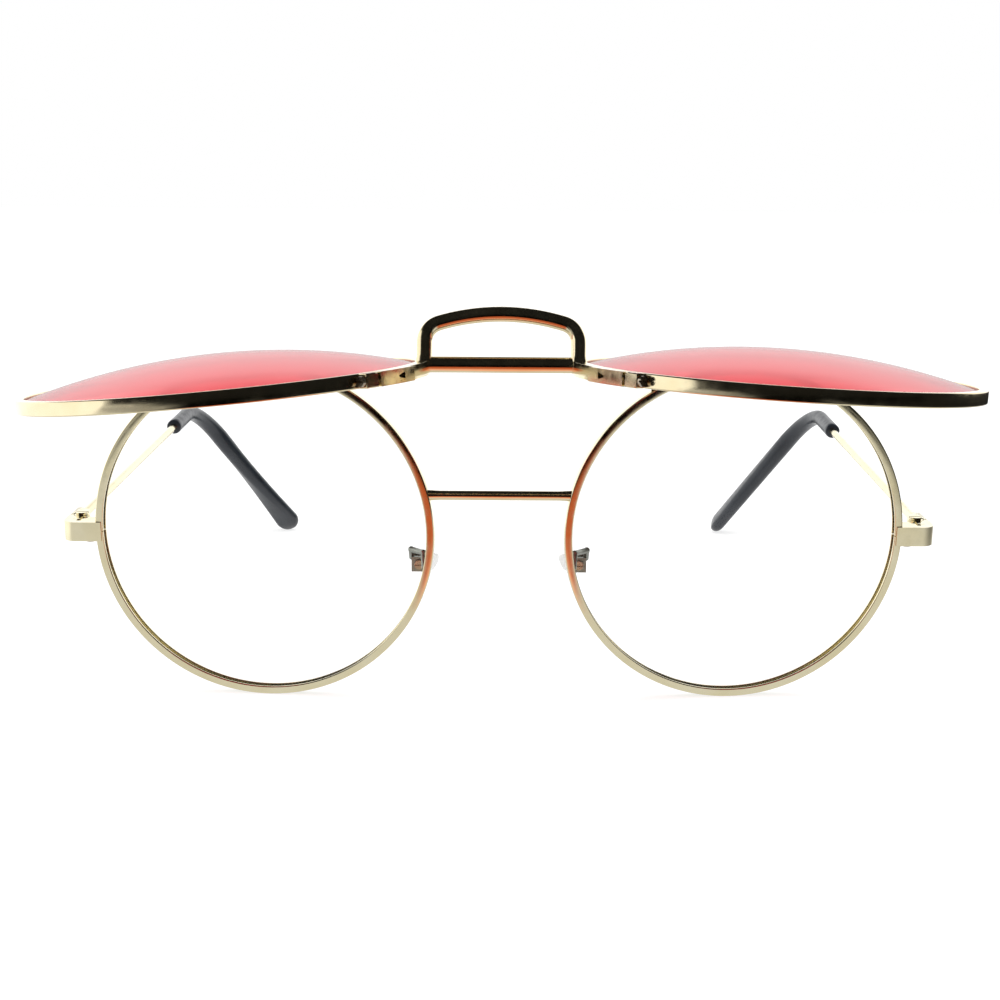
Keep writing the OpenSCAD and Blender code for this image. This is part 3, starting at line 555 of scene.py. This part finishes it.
for word, s in SIDES.items():
    base = STAND @ side_matrix(s)
    body = "temple_" + word

    verts, faces = temple(s)
    o = new_object("temple_wire_" + word, verts, faces, base, GOLD)
    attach(o, body)
    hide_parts("temple_" + word)

    verts, faces = ear_tip(s)
    o = new_object("ear_tip_" + word, verts, faces, base @ in_bend(s), SLATE, sharp=50)
    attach(o, body)
    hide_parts("temple_tip_" + word)


# ---------------------------------------------------------------- nose pads

def pad_mesh():
    """A drop shaped pad, wider below, crowned on the face and rounded round its edge."""
    low_r, high_r = PAD_W / 2, PAD_TOP_SHARE * PAD_W / 2
    low_z, high_z = low_r - PAD_H / 2, PAD_H / 2 - high_r
    angles = [2 * math.pi * i / PAD_AROUND for i in range(PAD_AROUND)]

    def edge(t):
        """The outline's reach from the pad's middle in direction t, over discs from low to high."""
        best = 0
        for i in range(PAD_OUTLINE_STEPS + 1):
            u = i / PAD_OUTLINE_STEPS
            r = low_r + (high_r - low_r) * u
            z = low_z + (high_z - low_z) * u
            disc = r * r - (z * math.cos(t)) ** 2
            if disc >= 0:
                best = max(best, z * math.sin(t) + math.sqrt(disc))
        return best

    reach = [edge(t) for t in angles]
    verts, faces = [], []
    for face in (1, -1):
        for j in range(1, PAD_ROWS + 1):
            u = math.sin(j / PAD_ROWS * math.pi / 2)
            h = PAD_T / 2 * (1 - u ** 4) ** 0.5
            verts += [(face * h, u * far * math.cos(t), u * far * math.sin(t))
                      for t, far in zip(angles, reach)]
    back = PAD_ROWS * PAD_AROUND
    for first in (0, back):
        for j in range(PAD_ROWS - 1):
            for i in range(PAD_AROUND):
                a = first + j * PAD_AROUND + i
                b = first + j * PAD_AROUND + (i + 1) % PAD_AROUND
                faces.append((a, b, b + PAD_AROUND, a + PAD_AROUND))
    verts += [(PAD_T / 2, 0, 0), (-PAD_T / 2, 0, 0)]
    for i in range(PAD_AROUND):
        faces.append((len(verts) - 2, i, (i + 1) % PAD_AROUND))
        faces.append((len(verts) - 1, back + i, back + (i + 1) % PAD_AROUND))
    return verts, faces


for word, s in SIDES.items():
    at_pad = move(PAD_X, PAD_Y, PAD_Z) @ move(-PAD_REACH, 0, 0) @ turn("Y", -PAD_FRONTAL)
    at_pad = at_pad @ turn("Z", PAD_SPLAY) @ move(-PAD_T / 2 - PAD_GAP, 0, 0)
    verts, faces = pad_mesh()
    o = new_object("silicone_pad_" + word, verts, faces, STAND @ side_matrix(s) @ at_pad, SILICONE,
                   sharp=80)
    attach(o, "nose_pad_" + word)
    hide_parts("nose_pad_" + word)


# ---------------------------------------------------------------- carried over CAD nodes

WELD_M = 2e-7
SMOOTH_BELOW, BEVEL_ABOVE = 28, 30


def clean_group():
    """Welds a CAD node's faces and smooths all but its hard edges, as a modifier."""
    g = bpy.data.node_groups.new("weld_and_smooth", "GeometryNodeTree")
    g.interface.new_socket("Geometry", in_out="INPUT", socket_type="NodeSocketGeometry")
    g.interface.new_socket("Geometry", in_out="OUTPUT", socket_type="NodeSocketGeometry")
    gin, gout = g.nodes.new("NodeGroupInput"), g.nodes.new("NodeGroupOutput")
    weld = g.nodes.new("GeometryNodeMergeByDistance")
    weld.inputs["Distance"].default_value = WELD_M
    drop = g.nodes.new("GeometryNodeRemoveAttribute")
    drop.inputs["Name"].default_value = "custom_normal"
    angle = g.nodes.new("GeometryNodeInputMeshEdgeAngle")
    compare = g.nodes.new("FunctionNodeCompare")
    compare.data_type = "FLOAT"
    compare.operation = "LESS_EQUAL"
    compare.inputs["B"].default_value = SMOOTH_BELOW * DEG
    smooth = g.nodes.new("GeometryNodeSetShadeSmooth")
    smooth.domain = "FACE"
    edges = g.nodes.new("GeometryNodeSetShadeSmooth")
    edges.domain = "EDGE"
    link = g.links.new
    link(gin.outputs[0], weld.inputs["Geometry"])
    link(weld.outputs["Geometry"], drop.inputs["Geometry"])
    link(drop.outputs["Geometry"], smooth.inputs[0])
    link(smooth.outputs[0], edges.inputs[0])
    link(angle.outputs["Unsigned Angle"], compare.inputs["A"])
    link(compare.outputs["Result"], edges.inputs["Shade Smooth"])
    link(edges.outputs[0], gout.inputs[0])
    return g


CLEAN = clean_group()
# Material and width of the rounded edges
CARRIED = {
    "bridge_bar": (WARM_GOLD, 0), "endpiece": (GOLD, 0.12), "closing_block": (GOLD, 0.08),
    "hinge_front": (GOLD, 0.06), "hinge_temple": (GOLD, 0.06), "pad_arm": (PAD_METAL, 0),
    "flip_base_leaf": (WARM_GOLD, 0.08), "flip_bar": (WARM_GOLD, 0.08),
    "flip_leaf": (WARM_GOLD, 0.08), "flip_block": (WARM_GOLD, 0.12), "flip_cap": (WARM_GOLD, 0.12),
    "rim_screw": (SCREW, 0.03), "hinge_screw": (GOLD, 0.03), "pad_screw": (SCREW, 0.03),
    "flip_pin": (SCREW, 0), "flip_screw": (SCREW, 0.03), "pad_core": (INSERT, 0),
}
for name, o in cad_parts.items():
    kind = name.replace("_left", "").replace("_right", "")
    if kind not in CARRIED:
        continue
    material, width = CARRIED[kind]
    if not o.data.materials:
        o.data.materials.append(material)
    for place in o.material_slots:
        place.link = "OBJECT"
        place.material = material
    mod = o.modifiers.new("weld_and_smooth", "NODES")
    mod.node_group = CLEAN
    if width:
        edge = o.modifiers.new("edge_round", "BEVEL")
        edge.width = width * MM
        edge.segments = 2
        edge.limit_method = "ANGLE"
        edge.angle_limit = BEVEL_ABOVE * DEG
        edge.use_clamp_overlap = True


# ---------------------------------------------------------------- camera and lamps

CAMERA_AT = Vector((-0.92, -229.5, 80.5)) * MM
PITCH, YAW, ROLL = 12.13, 0.25, 0.41
FOCAL_PX, IMAGE_PX, SENSOR = 1529.0, 1000.0, 36.0

view = (turn("Y", ROLL) @ turn("X", PITCH) @ turn("Z", YAW)).to_3x3()
right, forward, up = view[0], view[1], view[2]
camera = bpy.data.objects.new("camera", bpy.data.cameras.new("camera"))
bpy.context.scene.collection.objects.link(camera)
camera.data.lens = FOCAL_PX / IMAGE_PX * SENSOR
camera.data.sensor_width = SENSOR
camera.data.clip_start, camera.data.clip_end = 0.01, 20
pose = Matrix((right, up, -forward)).transposed().to_4x4()
pose.translation = CAMERA_AT
camera.matrix_world = pose
bpy.context.scene.camera = camera


def lamp(name, at, target, size, watts):
    """A soft box that lights the glasses and that metal doesn't mirror."""
    data = bpy.data.lights.new(name, "AREA")
    data.shape = "RECTANGLE"
    data.size, data.size_y = size
    data.energy = watts
    o = bpy.data.objects.new(name, data)
    bpy.context.scene.collection.objects.link(o)
    o.location = at
    o.rotation_mode = "QUATERNION"
    o.rotation_quaternion = (Vector(at) - Vector(target)).to_track_quat("Z", "Y")
    o.visible_glossy = False
    o.visible_camera = False


lamp("top_soft", (0.0, 0.1, 1.1), (0, 0, 0), (1.4, 1.2), 9)
lamp("left_soft", (-0.9, -0.35, 0.6), (0, 0, 0.02), (0.9, 0.9), 6)
lamp("right_soft", (0.9, -0.2, 0.5), (0, 0, 0.02), (0.8, 0.8), 2.5)


# ---------------------------------------------------------------- world

# Strengths of the world: as mirrored behind and on the left, in the dark room elsewhere, as it
# lights the glasses, and as it is seen directly
BEHIND, LEFT_BOX, DARK_ROOM, FILL, WHITE = 1.4, 1.3, 0.008, 0.55, 1.0

world = bpy.data.worlds.new("studio")
bpy.context.scene.world = world
world.use_nodes = True
nt = world.node_tree
nt.nodes.clear()
out = node(nt, "OutputWorld")
ray = node(nt, "LightPath").outputs
way = node(nt, "SeparateXYZ")
nt.links.new(node(nt, "TexCoord").outputs["Generated"], way.inputs[0])
x, y, z = way.outputs

# What metal and lenses mirror: a white sweep behind, which ends sooner on the right, a soft box
# far out on the left, and the dark of the room in front and overhead
to_right = maths(nt, "MULTIPLY", maths(nt, "MAXIMUM", x, 0.0), 0.45)
behind = step(nt, maths(nt, "SUBTRACT", y, to_right), -0.05, 0.25, high=BEHIND)
behind = maths(nt, "MULTIPLY", behind, step(nt, z, 0.55, 0.35))
left_box = step(nt, x, -0.80, -0.85, high=LEFT_BOX)
bright = maths(nt, "MAXIMUM", maths(nt, "MAXIMUM", behind, left_box), DARK_ROOM)

room = node(nt, "Background", Color=(1, 1, 1, 1))
nt.links.new(bright, room.inputs["Strength"])
fill = node(nt, "Background", Color=(1, 1, 1, 1), Strength=FILL)
white = node(nt, "Background", Color=(1, 1, 1, 1), Strength=WHITE)
seen = maths(nt, "MAXIMUM", ray["Is Camera Ray"], ray["Is Transmission Ray"])
first, second = node(nt, "MixShader"), node(nt, "MixShader")
nt.links.new(ray["Is Glossy Ray"], first.inputs[0])
nt.links.new(fill.outputs[0], first.inputs[1])
nt.links.new(room.outputs[0], first.inputs[2])
nt.links.new(seen, second.inputs[0])
nt.links.new(first.outputs[0], second.inputs[1])
nt.links.new(white.outputs[0], second.inputs[2])
nt.links.new(second.outputs[0], out.inputs[0])


# ---------------------------------------------------------------- floor

# Strengths that metal mirrors: the table before the glasses, further off and behind them, the
# bright sides on the left, and how much the right side is dimmed
NEAR, FURTHER, FAR_OFF, BEYOND = 0.38, 0.37, 0.01, 0.6
LEFTWARD, LEFT_FRONT, RIGHT_DIM = 1.3, 0.62, 0.985
# The sweep's own strength at the glasses and at its far end, and its share of what is seen
SWEEP_NEAR, SWEEP_FAR, SWEEP_SHARE = 1.36, 1.75, 0.5
ORANGE, PEACH = (0.80, 0.18, 0.07), (1.45, 0.76, 0.56)
FLOOR_HALF = 3.0

floor_mat, nt, out = new_material("white_floor")
ray = node(nt, "LightPath").outputs
diffuse = node(nt, "BsdfDiffuse", Color=(0.85, 0.85, 0.85, 1))
glow = node(nt, "Emission")
at = node(nt, "SeparateXYZ")
nt.links.new(node(nt, "TexCoord").outputs["Object"], at.inputs[0])
x, y = at.outputs["X"], at.outputs["Y"]
across = maths(nt, "ABSOLUTE", x, 0.0)


def both(a, b):
    return maths(nt, "MULTIPLY", a, b)


# The sweep brightens toward its far end, to white
sweep = step(nt, y, 0.1, 1.6, SWEEP_NEAR, SWEEP_FAR)
# Before the glasses it is mirrored grey, and black from some way off in the middle
ahead = maths(nt, "ADD", step(nt, y, -0.26, -0.14, high=NEAR),
              step(nt, y, -0.60, -0.45, FAR_OFF, FURTHER))
ahead = both(ahead, maths(nt, "MAXIMUM", step(nt, across, 0.12, 0.16),
                          step(nt, y, -0.165, -0.125)))
ahead = maths(nt, "ADD", ahead, step(nt, y, 0.0, 0.15, high=BEYOND))
# Bright on the left, beyond a slanting line and in a patch before it, and near black on the right
leftward = maths(nt, "SUBTRACT", both(y, 1.45), x)
leftward = both(step(nt, leftward, -0.02, 0.03, high=LEFTWARD), step(nt, x, -0.10, -0.16))
left_front = both(step(nt, x, -0.92, -0.86, high=LEFT_FRONT), step(nt, x, -0.35, -0.45))
left_front = both(left_front, both(step(nt, y, -0.96, -0.88), step(nt, y, -0.10, -0.30, 0.2, 1)))
on_right = both(step(nt, x, 0.08, 0.22, high=RIGHT_DIM), step(nt, y, 0.60, 0.36))
mirrored = maths(nt, "MAXIMUM", maths(nt, "MAXIMUM", ahead, leftward), left_front)
mirrored = both(mirrored, maths(nt, "SUBTRACT", 1.0, on_right))
strength = node(nt, "Mix")
nt.links.new(ray["Is Glossy Ray"], strength.inputs["Factor"])
nt.links.new(sweep, strength.inputs["A"])
nt.links.new(mirrored, strength.inputs["B"])
nt.links.new(strength.outputs["Result"], glow.inputs["Strength"])

# An orange card on the table before the nose, peach in its nearer middle, which shows only where
# the metal mirrors it
slant = maths(nt, "ADD", y, both(across, 1.3))
card = both(step(nt, across, 0.056, 0.042),
            both(step(nt, y, -0.23, -0.17), step(nt, slant, -0.012, -0.035)))
card = both(card, ray["Is Glossy Ray"])
middle = both(step(nt, y, -0.09, -0.045), step(nt, across, 0.022, 0.012))
paint = blend_colour(nt, card, (1, 1, 1), blend_colour(nt, middle, ORANGE, PEACH))
nt.links.new(paint, glow.inputs["Color"])

seen = maths(nt, "MAXIMUM", ray["Is Camera Ray"], ray["Is Transmission Ray"])
share = maths(nt, "MAXIMUM", both(seen, SWEEP_SHARE), ray["Is Glossy Ray"])
mix = node(nt, "MixShader")
nt.links.new(share, mix.inputs[0])
nt.links.new(diffuse.outputs[0], mix.inputs[1])
nt.links.new(glow.outputs[0], mix.inputs[2])
nt.links.new(mix.outputs[0], out.inputs["Surface"])

corners = [(x_sign * FLOOR_HALF, y_sign * FLOOR_HALF, 0)
           for x_sign, y_sign in ((-1, -1), (1, -1), (1, 1), (-1, 1))]
mesh = bpy.data.meshes.new("floor")
mesh.from_pydata(corners, [], [(0, 1, 2, 3)])
floor = bpy.data.objects.new("floor", mesh)
bpy.context.scene.collection.objects.link(floor)
floor.data.materials.append(floor_mat)

bpy.context.scene.view_settings.view_transform = "Standard"
